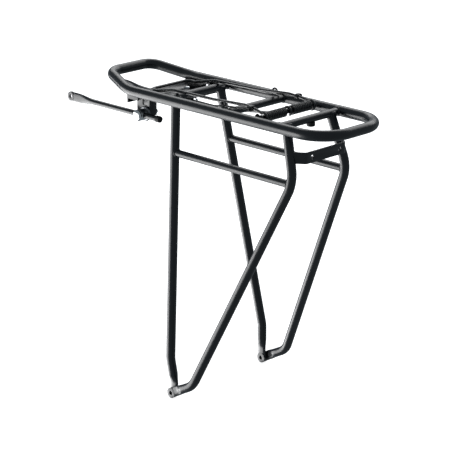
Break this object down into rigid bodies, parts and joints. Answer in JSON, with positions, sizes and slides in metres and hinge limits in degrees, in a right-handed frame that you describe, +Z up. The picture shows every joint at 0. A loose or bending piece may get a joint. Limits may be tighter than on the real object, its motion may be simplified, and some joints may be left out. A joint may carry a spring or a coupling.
{
  "type": "rear rack",
  "caption": "Rear rack for a bicycle: tube platform on splayed legs, with sliding front struts and a sprung wire flap that holds luggage down.",
  "frame": {"origin": "middle of the straight line between the bolt holes of the two feet, on the inner foot layers' common plane of symmetry", "axes": "+X towards the rear of the bicycle, -Y its left side, +Z up"},
  "size_m": [0.4843, 0.189, 0.4093],
  "materials": {
    "paint": "satin black powder coat",
    "dark_wire": "black-coated spring wire, slightly glossy",
    "steel": "zinc-plated steel",
    "chrome": "polished chrome",
    "rubber": "matt black rubber"
  },
  "bodies": {
    "frame": {"platform_ring": "paint", "front_cross_tube": "paint", "middle_cross_tube": "paint", "rear_cross_tube": "paint", "rear_light_bracket": "paint", "front_plate": "paint", "flap_hinge_rod": "dark_wire", "flap_stay": "dark_wire", "cable_plug": "rubber", "left_front_leg": "paint", "left_rear_leg": "paint", "left_side_bar": "paint", "left_strut_bracket": "paint", "left_bracket_bolt": "chrome", "left_bracket_nut": "steel", "left_clamp_washer": "steel", "left_clamp_nut": "steel", "left_flap_spring": "dark_wire", "left_rest_pad": "rubber", "right_front_leg": "paint", "right_rear_leg": "paint", "right_side_bar": "paint", "right_strut_bracket": "paint", "right_bracket_bolt": "chrome", "right_bracket_nut": "steel", "right_clamp_washer": "steel", "right_clamp_nut": "steel", "right_flap_spring": "dark_wire", "right_rest_pad": "rubber"},
    "left_clamp": {"left_clamp_barrel": "chrome", "left_clamp_screw": "chrome"},
    "right_clamp": {"right_clamp_barrel": "chrome", "right_clamp_screw": "chrome"},
    "left_strut": {"left_strut": "paint", "left_strut_cap": "rubber"},
    "right_strut": {"right_strut": "paint", "right_strut_cap": "rubber"},
    "flap": {"flap_hoop": "dark_wire", "left_catch_wire": "dark_wire", "left_catch_cap": "rubber", "left_tail_cap": "rubber", "left_flap_clip": "dark_wire", "right_catch_wire": "dark_wire", "right_catch_cap": "rubber", "right_tail_cap": "rubber", "right_flap_clip": "dark_wire"}
  },
  "joints": [
    {"name": "left_clamp_turn", "type": "hinge", "parent": "frame", "child": "left_clamp", "pos_m": [-0.099, -0.0445, 0.3505], "axis": [0, 1, 0], "range_deg": [-18, 12]},
    {"name": "right_clamp_turn", "type": "hinge", "parent": "frame", "child": "right_clamp", "pos_m": [-0.099, 0.0445, 0.3505], "axis": [0, 1, 0], "range_deg": [-18, 12]},
    {"name": "left_strut_slide", "type": "slide", "parent": "left_clamp", "child": "left_strut", "axis": [1, 0, 0], "range_m": [-0.018, 0.012]},
    {"name": "right_strut_slide", "type": "slide", "parent": "right_clamp", "child": "right_strut", "axis": [0.9997, 0, -0.0262], "range_m": [-0.018, 0.012]},
    {"name": "flap_hinge", "type": "hinge", "parent": "frame", "child": "flap", "pos_m": [0.12, 0, 0.3876], "axis": [0, 1, 0], "range_deg": [0, 95], "stiffness_Nm_per_rad": 1.2, "springref_deg": -20.05, "deforming": ["left_flap_spring", "right_flap_spring"]}
  ]
}
